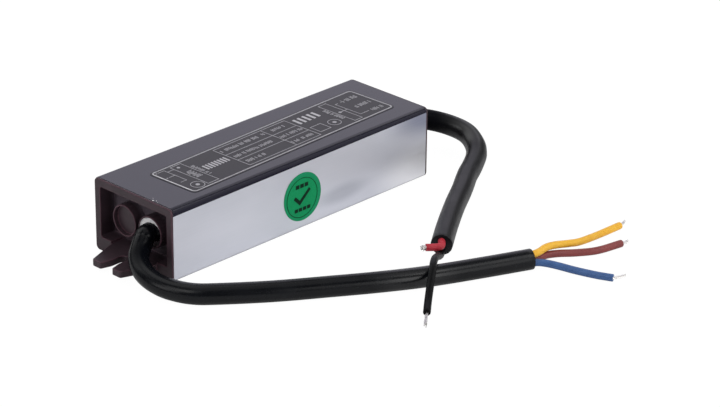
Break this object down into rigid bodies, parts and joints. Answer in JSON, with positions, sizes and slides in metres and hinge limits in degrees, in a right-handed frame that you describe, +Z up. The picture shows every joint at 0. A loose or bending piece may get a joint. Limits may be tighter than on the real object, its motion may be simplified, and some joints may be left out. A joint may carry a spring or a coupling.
{
  "type": "waterproof power supply",
  "caption": "Slim potted power supply in an extruded aluminium case, with forked end caps, a sealed mains lead and a sealed low-voltage lead, both with bare ends",
  "frame": {"origin": "on the floor under the middle of the case, with the leads left out of the count", "axes": "+X runs along the case from the input lead's end to the output lead's end, +Z is up, and the side with the round sticker faces -Y"},
  "size_m": [0.1481, 0.127, 0.0241],
  "materials": {
    "case": "extruded, bright anodised, soft sheen",
    "film": "thin glossy dark grey film",
    "label": "satin dark grey film label",
    "print": "screen-printed pale ink",
    "sticker": "green paper-backed sticker",
    "sticker_ink": "dark printed ink",
    "cap": "moulded plastic, fine satin texture",
    "silicone": "cured silicone sealant, satin",
    "jacket": "black PVC jacket, satin",
    "yellow": "yellow PVC insulation",
    "brown": "brown PVC insulation",
    "blue": "blue PVC insulation",
    "red": "red PVC insulation",
    "black": "black PVC insulation",
    "tinned": "solder-tinned copper strands",
    "sleeve": "white insulating sheet",
    "board": "glass-fibre board with solder mask",
    "component": "moulded component bodies",
    "capacitor": "shrink-sleeved capacitor cans",
    "film_box": "cast box of a film capacitor",
    "ferrite": "sintered ferrite",
    "winding": "taped copper winding",
    "potting": "grey potting compound"
  },
  "bodies": {
    "root": {"housing": "case", "top_film": "film", "rating_label": "label", "label_print": "print", "label_words": "print", "check_sticker": "sticker", "check_print": "sticker_ink", "input_end_cap": "cap", "output_end_cap": "cap", "input_seal": "silicone", "output_seal": "silicone", "ac_lead": "jacket", "ac_core_yellow": "yellow", "ac_core_brown": "brown", "ac_core_blue": "blue", "ac_wire_ends": "tinned", "dc_lead": "jacket", "dc_core_red": "red", "dc_core_black": "black", "dc_wire_ends": "tinned", "insulating_sleeve": "sleeve", "circuit_board": "board", "input_wires": "brown", "output_wires": "black", "fuse": "component", "line_capacitor": "film_box", "line_choke": "component", "bridge_rectifier": "component", "bulk_capacitor": "capacitor", "controller_chip": "component", "resistors": "film_box", "transformer_core": "ferrite", "transformer_bobbin": "component", "transformer_winding": "winding", "optocoupler": "component", "safety_capacitor": "capacitor", "output_diode": "component", "output_capacitors": "capacitor", "output_choke": "component", "potting_compound": "potting"}
  },
  "joints": []
}
